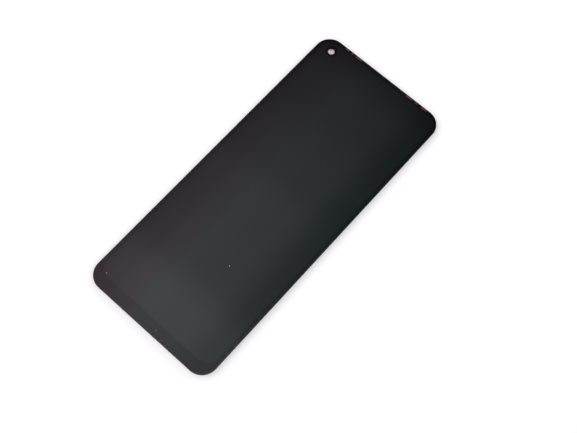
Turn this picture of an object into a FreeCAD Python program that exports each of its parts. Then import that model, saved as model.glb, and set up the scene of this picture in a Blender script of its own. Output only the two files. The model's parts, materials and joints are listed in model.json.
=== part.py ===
import FreeCAD, Part
import math
import os
from types import SimpleNamespace

import Sketcher
from FreeCAD import Placement, Rotation, Vector

# Phone LCD screen assembly, lying on its back with the screen up, in millimetres.
# +X is the phone's right, +Y the camera end and +Z towards the viewer. The origin is under the middle
# of the cover glass, level with the lowest face of the board connector. Insets are measured inwards
# from the edges of the cover glass: side from the long edges, top from the camera end, chin from the
# connector end.

SIZES = {
    # Cover glass and the ink printed under it
    "glass_width": 68.5,
    "glass_length": 157.4,
    "glass_thick": 0.65,
    "corner_radius": 7.7,
    "edge_bevel": 0.12,
    "edge_flat": 0.08,
    "ink_thick": 0.02,
    "ink_inset": 0.15,
    "picture_side_margin": 0.46,
    "picture_chin_margin": 0.47,
    # Camera window and the hole behind it
    "camera_left": 7.43,
    "camera_top": 6.45,
    "window_radius": 1.5,
    "ring_margin": 0.05,
    "bore_radius": 1.95,
    "sleeve_wall": 0.25,
    "sleeve_flange": 0.3,
    "sleeve_gap": 0.25,
    "sleeve_clearance": 0.05,
    "film_hole_clearance": 0.15,
    "polariser_hole_margin": 0.9,
    "camera_tape_width": 0.35,
    "gasket_width": 1.1,
    "gasket_thick": 0.35,
    # Clear slits in the ink along the top edge, three counted in from each long edge
    "slit_width": 0.45,
    "slit_inset": 0.78,
    "left_slit_start": 11.2,
    "left_slit_outer": 2.25,
    "left_slit_outer_gap": 1.45,
    "left_slit_middle": 1.2,
    "left_slit_inner_gap": 1.3,
    "left_slit_inner": 3.7,
    "right_slit_start": 9.4,
    "right_slit_outer": 2.9,
    "right_slit_outer_gap": 2.2,
    "right_slit_middle": 1.4,
    "right_slit_inner_gap": 1.6,
    "right_slit_inner": 3.6,
    # Liquid crystal cell
    "cell_inset": 1.1,
    "ledge_chin": 2.0,
    "array_thick": 0.2,
    "filter_thick": 0.2,
    "cell_gap": 0.02,
    "seal_width": 0.7,
    "polariser_thick": 0.12,
    "polariser_margin": 0.25,
    "rear_polariser_margin": 1.0,
    "optical_adhesive_thick": 0.15,
    # Driver chip on the glass ledge, and the sealant round it
    "chip_side": 19.25,
    "chip_width": 0.9,
    "chip_thick": 0.2,
    "chip_bond_gap": 0.3,
    "chip_filter_gap": 0.45,
    "sealant_thick": 0.08,
    "sealant_clearance": 0.05,
    "sealant_overhang": 4.0,
    # Back plate, a stamped tray
    "plate_inset": 1.15,
    "plate_chin": 2.25,
    "plate_thick": 0.12,
    "plate_wall_drop": 0.09,
    "plate_bend": 0.08,
    "corner_relief": 0.4,
    "snap_count": 5,
    "snap_end": 17.0,
    "snap_length": 4.0,
    "snap_sill": 0.1,
    "snap_lintel": 0.1,
    # Moulded frame in the tray
    "frame_clearance": 0.02,
    "frame_rim": 0.42,
    "frame_chin_bar": 0.85,
    "film_step": 0.12,
    "guide_clearance": 0.03,
    "nub_clearance": 0.15,
    "nub_height": 0.08,
    # Backlight films, and the ears that locate them
    "reflector_thick": 0.06,
    "guide_thick": 0.35,
    "ramp_height": 0.1,
    "ramp_flat": 0.4,
    "ramp_run": 0.5,
    "diffuser_thick": 0.05,
    "prism_thick": 0.065,
    "film_margin": 0.1,
    "ear_length": 2.6,
    "ear_wall_gap": 0.1,
    "ear_clearance": 0.2,
    "ear_top": 30.0,
    "ear_span": 90.0,
    "rim_tape_thick": 0.06,
    "rim_tape_margin": 0.2,
    # Row of light emitting diodes on its flex
    "led_length": 3.0,
    "led_gap": 0.7,
    "led_depth": 1.0,
    "led_height": 0.4,
    "led_window_margin": 0.06,
    "led_window_depth": 0.08,
    "led_row_margin": 0.4,
    "led_clearance": 0.04,
    "led_flex_thick": 0.08,
    "tab_gap": 1.2,
    "tab_margin": 0.15,
    "tab_setback": 0.45,
    "tab_slot_clearance": 0.12,
    "tab_foot_start": 9.0,
    "tab_foot_length": 3.2,
    "tab_overlap": 4.5,
    # Main flex, from the glass ledge round the chin to the board connector
    "flex_thick": 0.12,
    "flex_adhesive_thick": 0.2,
    "flex_side": 13.25,
    "flex_bond_depth": 1.1,
    "fold_clearance": 0.15,
    "neck_chin": 6.4,
    "board_step": 4.0,
    "board_chin": 19.5,
    "tail_offset": 10.0,
    "tail_width": 10.0,
    "tail_length": 25.5,
    "head_step": 1.75,
    "head_length": 6.0,
    "flex_corner": 0.6,
    "adhesive_margin": 0.8,
    "stiffener_thick": 0.1,
    "stiffener_margin": 1.2,
    "tape_thick": 0.05,
    "tape_chin": 2.9,
    "tape_neck_gap": 0.5,
    "tape_side_margin": 1.5,
    # Board connector on the flex head
    "connector_length": 9.0,
    "connector_width": 2.4,
    "connector_height": 0.6,
    "connector_end_wall": 0.8,
    "connector_side_wall": 0.85,
    "connector_channel_depth": 0.42,
    "contact_count": 16,
    "contact_pitch": 0.4,
    "contact_width": 0.2,
    "contact_thick": 0.08,
    "contact_foot": 0.3,
    "contact_depth": 0.4,
    "contact_floor": 0.12,
    "connector_tab_length": 0.5,
    "connector_tab_width": 1.6,
    "connector_tab_height": 0.35,
    # Components on the exposed side of the flex
    "part_row_gap": 1.4,
    "capacitor_count": 6,
    "capacitor_pitch": 2.1,
    "capacitor_length": 1.0,
    "capacitor_width": 0.5,
    "capacitor_height": 0.35,
    "bias_chip_side": 2.4,
    "bias_chip_height": 0.45,
    "bias_chip_offset": 6.0,
    "inductor_length": 2.5,
    "inductor_width": 2.0,
    "inductor_height": 0.42,
    "inductor_offset": 10.6,
    "memory_chip_length": 2.0,
    "memory_chip_width": 1.6,
    "memory_chip_height": 0.4,
    "memory_chip_offset": 8.4,
    "solder_count": 3,
    "solder_pitch": 1.3,
    "solder_radius": 0.4,
    "solder_height": 0.12,
}

doc = FreeCAD.newDocument("phone_screen")
sheet = doc.addObject("Spreadsheet::Sheet", "Sizes")
for row, (alias, number) in enumerate(SIZES.items(), start=1):
    sheet.set(f"A{row}", alias)
    sheet.set(f"B{row}", str(number))
    sheet.setAlias(f"B{row}", alias)
doc.recompute()


class Length:
    """A length that knows its value now and the expression in sheet cells that gives it."""

    def __init__(self, value, text):
        self.value = value
        self.text = text

    def __add__(self, other):
        return Length(self.value + plain(other), f"({self.text} + {words(other)})")

    def __sub__(self, other):
        return Length(self.value - plain(other), f"({self.text} - {words(other)})")

    def __mul__(self, other):
        return Length(self.value * plain(other), f"({self.text} * {words(other)})")

    def __truediv__(self, other):
        return Length(self.value / plain(other), f"({self.text} / {words(other)})")

    def __neg__(self):
        return Length(-self.value, f"(-1 * {self.text})")


def plain(item):
    """The number of a Length, or the number itself."""
    return item.value if isinstance(item, Length) else item


def words(item):
    """The expression of a Length, or the number as text."""
    return item.text if isinstance(item, Length) else str(item)


def whole(count):
    """A count rounded down to a whole number."""
    return Length(math.floor(count.value), f"floor({count.text})")


size = SimpleNamespace(**{alias: Length(float(sheet.get(alias)), f"Sizes.{alias}") for alias in SIZES})
zero = Length(0.0, "0")
pair = Length(2, "2")


def from_side(inset):
    """X of a line that is inset from the right long edge."""
    return size.glass_width / 2 - inset


def from_left(distance):
    """X at a distance from the left long edge."""
    return distance - size.glass_width / 2


def from_top(inset):
    """Y of a line that is inset from the camera end."""
    return size.glass_length / 2 - inset


def from_chin(inset):
    """Y of a line that is inset from the connector end."""
    return inset - size.glass_length / 2


def bind(item, name, length):
    """Sets a property and ties it to the sheet."""
    item.setExpression(name, length.text)


def new_body(name):
    body = doc.addObject("PartDesign::Body", name)
    body.Label = name
    return body


def origin_plane(body, role):
    return next(item for item in body.Origin.OriginFeatures if item.Role == role)


def new_sketch(body, name, height, role="XY_Plane"):
    """A sketch on one of the body's own origin planes, moved along the plane's normal."""
    sketch = body.newObject("Sketcher::SketchObject", name)
    sketch.AttachmentSupport = [(origin_plane(body, role), "")]
    sketch.MapMode = "FlatFace"
    sketch.AttachmentOffset = Placement(Vector(0, 0, height.value), Rotation())
    bind(sketch, "AttachmentOffset.Base.z", height)
    return sketch


def hold(sketch, kind, items, length):
    """Adds a dimension and ties it to the sheet."""
    index = sketch.addConstraint(Sketcher.Constraint(kind, *items, length.value))
    bind(sketch, f"Constraints[{index}]", length)


def hold_x(sketch, line, point, x):
    """Holds a point at its distance from the sketch's upright axis, on the side where it is."""
    if x.value < 0:
        hold(sketch, "DistanceX", (line, point, -1, 1), -x)
    else:
        hold(sketch, "DistanceX", (-1, 1, line, point), x)


def hold_y(sketch, line, point, y):
    """Holds a point at its distance from the sketch's level axis, on the side where it is."""
    if y.value < 0:
        hold(sketch, "DistanceY", (line, point, -1, 1), -y)
    else:
        hold(sketch, "DistanceY", (-1, 1, line, point), y)


def add_polygon(sketch, points):
    """Adds straight sides through the points, each point held by its two distances."""
    first = sketch.GeometryCount
    places = [Vector(x.value, y.value, 0) for x, y in points]
    for start, end in zip(places, places[1:] + places[:1]):
        sketch.addGeometry(Part.LineSegment(start, end), False)
    for index, (x, y) in enumerate(points):
        line = first + index
        following = first + (index + 1) % len(points)
        sketch.addConstraint(Sketcher.Constraint("Coincident", line, 2, following, 1))
        hold_x(sketch, line, 1, x)
        hold_y(sketch, line, 1, y)


def add_rectangle(sketch, left, right, low, high):
    add_polygon(sketch, [(left, low), (right, low), (right, high), (left, high)])


def add_circle(sketch, x, y, radius):
    place = Vector(x.value, y.value, 0)
    circle = sketch.addGeometry(Part.Circle(place, Vector(0, 0, 1), radius.value), False)
    hold_x(sketch, circle, 3, x)
    hold_y(sketch, circle, 3, y)
    hold(sketch, "Radius", (circle,), radius)


def add_outline(sketch, side, top, chin):
    """Adds a rectangle inset from the glass edges, with corner arcs concentric with the glass corners."""
    half, low, high = from_side(side), from_chin(chin), from_top(top)
    radius = size.corner_radius - side
    near, far = half.value - radius.value, radius.value
    centres = [
        (near, high.value - far),
        (-near, high.value - far),
        (-near, low.value + far),
        (near, low.value + far),
    ]
    arcs = []
    for quarter, (x, y) in enumerate(centres):
        circle = Part.Circle(Vector(x, y, 0), Vector(0, 0, 1), far)
        start = quarter * math.pi / 2
        arcs.append(sketch.addGeometry(Part.ArcOfCircle(circle, start, start + math.pi / 2), False))
    lines = []
    for arc, following in zip(arcs, arcs[1:] + arcs[:1]):
        start = sketch.Geometry[arc].EndPoint
        end = sketch.Geometry[following].StartPoint
        lines.append(sketch.addGeometry(Part.LineSegment(start, end), False))
    for index, line in enumerate(lines):
        direction = "Vertical" if index % 2 else "Horizontal"
        sketch.addConstraint(Sketcher.Constraint(direction, line))
        sketch.addConstraint(Sketcher.Constraint("Tangent", arcs[index], 2, line, 1))
        sketch.addConstraint(Sketcher.Constraint("Tangent", line, 2, arcs[(index + 1) % 4], 1))
    for arc in arcs[1:]:
        sketch.addConstraint(Sketcher.Constraint("Equal", arcs[0], arc))
    hold(sketch, "Radius", (arcs[0],), radius)
    hold_y(sketch, lines[0], 1, high)
    hold_x(sketch, lines[1], 1, -half)
    hold_y(sketch, lines[2], 1, low)
    hold_x(sketch, lines[3], 1, half)


def finish(body, feature):
    """Recomputes, makes the feature the body's tip and stops if it failed."""
    body.Tip = feature
    doc.recompute()
    if feature.Shape.isNull() or not feature.Shape.isValid():
        raise RuntimeError(f"{body.Label}: {feature.Name} has no valid shape")
    return feature


def pad(body, sketch, length):
    """Raises a sketch along its normal."""
    feature = body.newObject("PartDesign::Pad", f"{body.Name}_pad")
    feature.Profile = sketch
    feature.Length = length.value
    bind(feature, "Length", length)
    sketch.Visibility = False
    return finish(body, feature)


def pocket(body, sketch, depth):
    """Cuts a sketch against its normal, and checks that the cut took something away."""
    before = body.Shape.Volume
    feature = body.newObject("PartDesign::Pocket", f"{body.Name}_pocket")
    feature.Profile = sketch
    feature.Length = depth.value
    feature.Reversed = False
    bind(feature, "Length", depth)
    sketch.Visibility = False
    finish(body, feature)
    if feature.Shape.Volume >= before:
        raise RuntimeError(f"{body.Label}: {feature.Name} cuts nothing")
    return feature


def repeat(body, feature, axis, span, count):
    """Repeats a pad or pocket along an origin axis, spread evenly over a span."""
    pattern = body.newObject("PartDesign::LinearPattern", f"{body.Name}_pattern")
    pattern.Originals = [feature]
    pattern.Direction = (next(item for item in body.Origin.OriginFeatures if item.Role == axis), [""])
    pattern.Length = span.value
    bind(pattern, "Length", span)
    pattern.Occurrences = int(count.value)
    bind(pattern, "Occurrences", count)
    return finish(body, pattern)


def round_edges(body, feature, radius, chosen):
    """Fillets the edges for which chosen(edge) is true."""
    names = [f"Edge{index}" for index, edge in enumerate(feature.Shape.Edges, start=1) if chosen(edge)]
    fillet = body.newObject("PartDesign::Fillet", f"{body.Name}_fillet")
    fillet.Base = (feature, names)
    fillet.Radius = radius.value
    bind(fillet, "Radius", radius)
    return finish(body, fillet)


def bevel_edges(body, feature, width, chosen):
    """Chamfers the edges for which chosen(edge) is true."""
    names = [f"Edge{index}" for index, edge in enumerate(feature.Shape.Edges, start=1) if chosen(edge)]
    bevel = body.newObject("PartDesign::Chamfer", f"{body.Name}_bevel")
    bevel.Base = (feature, names)
    bevel.Size = width.value
    bind(bevel, "Size", width)
    return finish(body, bevel)


def lies_at(edge, height):
    """True for an edge that lies flat at this height."""
    box = edge.BoundBox
    return abs(box.ZMin - height.value) < 1e-6 and abs(box.ZMax - height.value) < 1e-6


def stands_between(edge, low, high):
    """True for an upright edge from one height to another."""
    box = edge.BoundBox
    return abs(box.ZMin - low.value) < 1e-6 and abs(box.ZMax - high.value) < 1e-6 and box.XLength < 1e-6


def layer(name, bottom, thick, insets, opening=None, hole=None):
    """A flat layer with rounded corners, and where given an opening and a round camera hole."""
    body = new_body(name)
    sketch = new_sketch(body, f"{name}_outline", bottom)
    add_outline(sketch, *insets)
    if opening:
        add_outline(sketch, *opening)
    if hole:
        add_circle(sketch, camera_x, camera_y, hole)
    pad(body, sketch, thick)
    return body


def block(name, x, y, half_x, half_y, bottom, height):
    """A plain rectangular block about a point, for chips and pads."""
    body = new_body(name)
    sketch = new_sketch(body, f"{name}_outline", bottom)
    add_rectangle(sketch, x - half_x, x + half_x, y - half_y, y + half_y)
    pad(body, sketch, height)
    return body


# Camera hole
camera_x = from_left(size.camera_left)
camera_y = from_top(size.camera_top)
sleeve_radius = size.bore_radius + size.sleeve_wall
flange_radius = sleeve_radius + size.sleeve_flange
film_hole = sleeve_radius + size.film_hole_clearance
ring_radius = film_hole + size.camera_tape_width + size.ring_margin

# Heights of the stack, from the lowest face of the connector to the screen
flex_low = size.connector_height
flex_high = flex_low + size.flex_thick
plate_low = flex_high + size.flex_adhesive_thick
plate_floor = plate_low + size.plate_thick
guide_low = plate_floor + size.reflector_thick
guide_high = guide_low + size.guide_thick
prism_low = guide_high + size.diffuser_thick
prism_middle = prism_low + size.prism_thick
frame_high = prism_middle + size.prism_thick
cell_rear = frame_high + size.rim_tape_thick
array_low = cell_rear + size.polariser_thick
array_high = array_low + size.array_thick
filter_low = array_high + size.cell_gap
filter_high = filter_low + size.filter_thick
adhesive_low = filter_high + size.polariser_thick
glass_low = adhesive_low + size.optical_adhesive_thick
glass_high = glass_low + size.glass_thick
ink_low = glass_low - size.ink_thick
edge_round = size.glass_thick - size.edge_bevel - size.edge_flat
wall_high = frame_high - size.plate_wall_drop
snap_low = plate_floor + size.snap_sill
snap_high = wall_high - size.snap_lintel

# Insets of the pieces that sit inside one another
wall_inner = size.plate_inset + size.plate_thick
frame_side = wall_inner + size.frame_clearance
guide_opening = frame_side + size.frame_rim
guide_side = guide_opening + size.guide_clearance
film_opening = guide_opening - size.film_step
film_side = film_opening + size.guide_clearance
frame_chin = size.plate_chin + size.plate_thick + size.frame_clearance
led_back = frame_chin + size.frame_chin_bar
led_front = led_back + size.led_depth + size.led_clearance
guide_chin = led_front + size.led_clearance
film_chin = guide_chin + size.ramp_flat + size.ramp_run + size.film_margin
side_border = guide_side + size.picture_side_margin
chin_border = film_chin + size.picture_chin_margin
bond_chin = size.ledge_chin + size.flex_bond_depth
chip_chin = bond_chin + size.chip_bond_gap
filter_chin = chip_chin + size.chip_width + size.chip_filter_gap
straight_half = from_side(size.corner_radius)
snap_span = (from_top(size.corner_radius) - size.snap_end) * 2

# Row of as many diodes as fit on the straight part of the chin, and its tab beside the main flex
led_span = (straight_half - size.led_row_margin) * 2 - size.led_length
led_count = whole(led_span / (size.led_length + size.led_gap)) + 1
led_pitch = led_span / (led_count - 1)
flex_half = from_side(size.flex_side)
tab_left = flex_half + size.tab_gap
tab_right = straight_half - size.tab_margin
tab_low = flex_low - size.led_flex_thick
drop_chin = led_back - size.tab_setback

# Places on the folded part of the main flex
board_half = flex_half - size.board_step
tail_x = board_half - size.tail_offset
head_half = size.tail_width / 2 + size.head_step
head_y = from_chin(size.board_chin) + size.tail_length + size.head_length / 2


def make_cover_glass():
    """Flat glass with a rounded front edge and a small bevel at the back."""
    body = layer("cover_glass", glass_low, size.glass_thick, (zero, zero, zero))
    rounded = round_edges(body, body.Tip, edge_round, lambda edge: lies_at(edge, glass_high))
    bevel_edges(body, rounded, size.edge_bevel, lambda edge: lies_at(edge, glass_low))


def make_border_ink():
    """Printed border round the picture, with the clear slits along the top edge."""
    inset = size.ink_inset
    picture = (side_border, side_border, chin_border)
    body = layer("border_ink", ink_low, size.ink_thick, (inset, inset, inset), opening=picture)
    sketch = new_sketch(body, "border_ink_slits", glass_low)
    middle = from_top(size.slit_inset)
    low, high = middle - size.slit_width / 2, middle + size.slit_width / 2
    edge = from_left(size.left_slit_start)
    for length, gap in (
        (size.left_slit_outer, size.left_slit_outer_gap),
        (size.left_slit_middle, size.left_slit_inner_gap),
        (size.left_slit_inner, zero),
    ):
        add_rectangle(sketch, edge, edge + length, low, high)
        edge = edge + length + gap
    edge = from_side(size.right_slit_start)
    for length, gap in (
        (size.right_slit_outer, size.right_slit_outer_gap),
        (size.right_slit_middle, size.right_slit_inner_gap),
        (size.right_slit_inner, zero),
    ):
        add_rectangle(sketch, edge - length, edge, low, high)
        edge = edge - length - gap
    pocket(body, sketch, size.ink_thick)


def make_ring(name, bottom, height, inner, outer):
    """A flat ring about the camera axis."""
    body = new_body(name)
    sketch = new_sketch(body, f"{name}_outline", bottom)
    add_circle(sketch, camera_x, camera_y, outer)
    add_circle(sketch, camera_x, camera_y, inner)
    pad(body, sketch, height)
    return body


def make_optical_adhesive():
    """Clear adhesive that fills the space to the glass inside the border and round the camera ring."""
    insets = (size.cell_inset, size.cell_inset, filter_chin)
    height = size.optical_adhesive_thick - size.ink_thick
    body = layer("optical_adhesive", adhesive_low, height, insets)
    sketch = new_sketch(body, "optical_adhesive_centre", ink_low)
    add_outline(sketch, side_border, side_border, chin_border)
    add_circle(sketch, camera_x, camera_y, ring_radius)
    pad(body, sketch, size.ink_thick)
    plug = new_sketch(body, "optical_adhesive_window", ink_low)
    add_circle(plug, camera_x, camera_y, size.window_radius)
    pad(body, plug, size.ink_thick)


def make_cell():
    """Two glass sheets with a sealed film of liquid crystal, and a polariser on each side."""
    cell, chin = size.cell_inset, filter_chin
    seal = cell + size.seal_width
    inside = (seal, seal, chin + size.seal_width)
    outside = (cell, cell, chin)
    margin = cell + size.polariser_margin
    layer("array_glass", array_low, size.array_thick, (cell, cell, size.ledge_chin))
    layer("cell_seal", array_high, size.cell_gap, outside, opening=inside)
    layer("liquid_crystal", array_high, size.cell_gap, inside)
    layer("colour_filter_glass", filter_low, size.filter_thick, outside)
    front = (margin, margin, chin + size.polariser_margin)
    window = size.window_radius + size.polariser_hole_margin
    layer("front_polariser", filter_high, size.polariser_thick, front, hole=window)
    rear = (margin, margin, size.ledge_chin + size.rear_polariser_margin)
    layer("rear_polariser", cell_rear, size.polariser_thick, rear, hole=film_hole)


def make_driver_chip():
    """Long bare chip on the glass ledge, between the flex bond and the colour filter glass."""
    middle = from_chin(chip_chin + size.chip_width / 2)
    chip_half = from_side(size.chip_side)
    block("driver_chip", zero, middle, chip_half, size.chip_width / 2, array_high, size.chip_thick)
    body = new_body("ledge_sealant")
    sketch = new_sketch(body, "ledge_sealant_outline", array_high)
    half = chip_half + size.sealant_overhang
    gap = size.sealant_clearance
    add_rectangle(sketch, -half, half, from_chin(bond_chin + gap), from_chin(filter_chin - gap))
    hole_half, hole_reach = chip_half + gap, size.chip_width / 2 + gap
    add_rectangle(sketch, -hole_half, hole_half, middle - hole_reach, middle + hole_reach)
    pad(body, sketch, size.sealant_thick)


def add_ears(body, bottom, thick):
    """Adds two locating ears on each long side of a film."""
    sketch = new_sketch(body, f"{body.Name}_ears", bottom)
    high = from_top(size.ear_top + size.ear_span)
    low = high - size.ear_length
    edge, tip = from_side(film_side + size.film_step), from_side(wall_inner + size.ear_wall_gap)
    add_rectangle(sketch, edge, tip, low, high)
    add_rectangle(sketch, -tip, -edge, low, high)
    ears = pad(body, sketch, thick)
    repeat(body, ears, "Y_Axis", size.ear_span, pair)


def make_films():
    """Reflector, light guide, diffuser and two prism films, from the back plate upwards."""
    guide = (guide_side, guide_side, guide_chin)
    film = (film_side, film_side, film_chin)
    layer("reflector_film", plate_floor, size.reflector_thick, guide,
          hole=flange_radius + size.sleeve_clearance)
    body = layer("light_guide", guide_low, size.guide_thick, guide, hole=film_hole)
    ramp = new_sketch(body, "light_guide_ramp", -straight_half, "YZ_Plane")
    entry = from_chin(guide_chin)
    flat_end = entry + size.ramp_flat
    crest = guide_high + size.ramp_height
    run_end = flat_end + size.ramp_run
    add_polygon(ramp, [(entry, guide_high), (run_end, guide_high), (flat_end, crest), (entry, crest)])
    pad(body, ramp, straight_half * 2)
    for name, bottom, thick in (
        ("diffuser_film", guide_high, size.diffuser_thick),
        ("lower_prism_film", prism_low, size.prism_thick),
        ("upper_prism_film", prism_middle, size.prism_thick),
    ):
        sheet_body = layer(name, bottom, thick, film, hole=film_hole)
        add_ears(sheet_body, bottom, thick)
    rim = side_border - size.rim_tape_margin
    opening = (rim, rim, chin_border - size.rim_tape_margin)
    layer("rim_tape", frame_high, size.rim_tape_thick, (frame_side, frame_side, frame_chin), opening=opening)


def make_back_plate():
    """Stamped tray: floor, upturned walls with snap windows, open corners, camera hole and tab slot."""
    plate = (size.plate_inset, size.plate_inset, size.plate_chin)
    body = layer("back_plate", plate_low, wall_high - plate_low, plate)
    round_edges(body, body.Tip, size.plate_bend, lambda edge: lies_at(edge, plate_low))
    inner = new_sketch(body, "back_plate_inner", wall_high)
    add_outline(inner, wall_inner, wall_inner, size.plate_chin + size.plate_thick)
    pocket(body, inner, wall_high - plate_floor)
    corners = new_sketch(body, "back_plate_corners", wall_high)
    start_x = straight_half - size.corner_relief
    end_x = from_side(zero)
    top_arc = from_top(size.corner_radius + size.corner_relief)
    chin_arc = from_chin(size.plate_chin + size.corner_radius - size.plate_inset + size.corner_relief)
    add_rectangle(corners, start_x, end_x, top_arc, from_top(zero))
    add_rectangle(corners, -end_x, -start_x, top_arc, from_top(zero))
    add_rectangle(corners, start_x, end_x, from_chin(zero), chin_arc)
    add_rectangle(corners, -end_x, -start_x, from_chin(zero), chin_arc)
    pocket(body, corners, wall_high - plate_floor)
    holes = new_sketch(body, "back_plate_holes", plate_floor)
    add_circle(holes, camera_x, camera_y, sleeve_radius + size.sleeve_clearance)
    gap = size.tab_slot_clearance
    slot_low = from_chin(drop_chin - gap)
    slot_high = from_chin(drop_chin + size.led_flex_thick + gap)
    add_rectangle(holes, tab_left - gap, tab_right + gap, slot_low, slot_high)
    pocket(body, holes, size.plate_thick)
    windows = new_sketch(body, "back_plate_windows", snap_high)
    low, high = (snap_span + size.snap_length) / -2, (snap_span - size.snap_length) / -2
    outer, inner_face = from_side(zero), from_side(wall_inner + size.frame_clearance)
    add_rectangle(windows, inner_face, outer, low, high)
    add_rectangle(windows, -outer, -inner_face, low, high)
    cut = pocket(body, windows, snap_high - snap_low)
    repeat(body, cut, "Y_Axis", snap_span, size.snap_count)


def make_backlight_frame():
    """Moulded frame: stepped rim, pockets between teeth for the diodes, ear notches and snap nubs."""
    opening = (guide_opening, guide_opening, led_front)
    outer = (frame_side, frame_side, frame_chin)
    body = layer("backlight_frame", plate_floor, frame_high - plate_floor, outer, opening=opening)
    step = new_sketch(body, "backlight_frame_step", frame_high)
    add_outline(step, film_opening, film_opening, film_chin - size.guide_clearance)
    pocket(body, step, frame_high - guide_high)
    pockets = new_sketch(body, "backlight_frame_led_pockets", frame_high)
    half = size.led_length / 2 + size.led_clearance
    first = -led_span / 2
    back = from_chin(led_back - size.led_clearance)
    add_rectangle(pockets, first - half, first + half, back, from_chin(guide_chin))
    cut = pocket(body, pockets, frame_high - plate_floor)
    repeat(body, cut, "X_Axis", led_span, led_count)
    strip_room = size.led_flex_thick + size.led_clearance
    channel = new_sketch(body, "backlight_frame_channel", plate_floor + strip_room)
    strip_half = straight_half + size.led_clearance
    gap = size.tab_slot_clearance
    notch_low = from_chin(drop_chin - gap)
    add_polygon(channel, [
        (-strip_half, back), (tab_left - gap, back), (tab_left - gap, notch_low),
        (tab_right + gap, notch_low), (tab_right + gap, back), (strip_half, back),
        (strip_half, from_chin(guide_chin)), (-strip_half, from_chin(guide_chin)),
    ])
    pocket(body, channel, strip_room)
    ears = new_sketch(body, "backlight_frame_ear_notches", frame_high)
    high = from_top(size.ear_top + size.ear_span - size.ear_clearance)
    low = from_top(size.ear_top + size.ear_span + size.ear_length + size.ear_clearance)
    inside, outside = from_side(guide_opening), from_side(wall_inner)
    add_rectangle(ears, inside, outside, low, high)
    add_rectangle(ears, -outside, -inside, low, high)
    cut = pocket(body, ears, frame_high - guide_high)
    repeat(body, cut, "Y_Axis", size.ear_span, pair)
    gap = size.nub_clearance
    nubs = new_sketch(body, "backlight_frame_nubs", snap_low + gap / 2)
    first = snap_span / -2
    reach = size.snap_length / 2 - gap
    root, tip = from_side(frame_side + size.frame_rim / 4), from_side(frame_side - size.nub_height)
    add_rectangle(nubs, root, tip, first - reach, first + reach)
    add_rectangle(nubs, -tip, -root, first - reach, first + reach)
    raised = pad(body, nubs, snap_high - snap_low - gap)
    repeat(body, raised, "Y_Axis", snap_span, size.snap_count)


def make_camera_parts():
    """Sleeve that lines the camera hole, the tape ring above it and the foam ring behind the plate."""
    body = new_body("camera_sleeve")
    profile = new_sketch(body, "camera_sleeve_profile", -camera_y, "XZ_Plane")
    inner_x, outer_x = camera_x + size.bore_radius, camera_x + sleeve_radius
    flange_x = camera_x + flange_radius
    sleeve_high = array_low - size.sleeve_gap
    add_polygon(profile, [
        (inner_x, plate_low), (outer_x, plate_low), (outer_x, plate_floor),
        (flange_x, plate_floor), (flange_x, guide_low), (outer_x, guide_low),
        (outer_x, sleeve_high), (inner_x, sleeve_high),
    ])
    axis = profile.addGeometry(
        Part.LineSegment(Vector(camera_x.value, 0, 0), Vector(camera_x.value, 1, 0)), True)
    profile.addConstraint(Sketcher.Constraint("Vertical", axis))
    hold_x(profile, axis, 1, camera_x)
    hold_y(profile, axis, 1, zero)
    hold_y(profile, axis, 2, Length(1.0, "1"))
    turned = body.newObject("PartDesign::Revolution", "camera_sleeve_turned")
    turned.Profile = profile
    turned.ReferenceAxis = (profile, ["Axis0"])
    turned.Angle = 360.0
    finish(body, turned)
    make_ring("camera_tape", frame_high, size.rim_tape_thick,
              film_hole, film_hole + size.camera_tape_width)
    inner = sleeve_radius + size.sleeve_clearance * 2
    make_ring("camera_gasket", plate_low - size.gasket_thick, size.gasket_thick,
              inner, inner + size.gasket_width)


def make_led_flex():
    """Strip under the diodes, with a tab that drops through the plate and turns on to the main flex."""
    body = new_body("led_flex")
    thick = size.led_flex_thick
    strip = new_sketch(body, "led_flex_strip", plate_floor)
    back, front = from_chin(led_back), from_chin(led_front)
    add_polygon(strip, [
        (-straight_half, back), (tab_left, back), (tab_left, from_chin(drop_chin)),
        (tab_right, from_chin(drop_chin)), (tab_right, back), (straight_half, back),
        (straight_half, front), (-straight_half, front),
    ])
    pad(body, strip, thick)
    drop = new_sketch(body, "led_flex_drop", tab_low)
    add_rectangle(drop, tab_left, tab_right, from_chin(drop_chin), from_chin(drop_chin) + thick)
    pad(body, drop, plate_floor + thick - tab_low)
    foot = new_sketch(body, "led_flex_foot", tab_low)
    foot_low = from_chin(size.tab_foot_start)
    foot_high = foot_low + size.tab_foot_length
    foot_end = board_half - size.tab_overlap
    add_polygon(foot, [
        (tab_left, from_chin(drop_chin)), (tab_right, from_chin(drop_chin)), (tab_right, foot_high),
        (foot_end, foot_high), (foot_end, foot_low), (tab_left, foot_low),
    ])
    last = pad(body, foot, thick)
    bends = (plate_floor + thick, tab_low)
    row_y = from_chin(drop_chin).value

    def is_outer_bend(edge):
        box = edge.BoundBox
        flat = any(lies_at(edge, height) for height in bends)
        return flat and abs(box.YMin - row_y) < 1e-6 and box.YLength < 1e-6

    round_edges(body, last, thick * 0.9, is_outer_bend)


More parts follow.
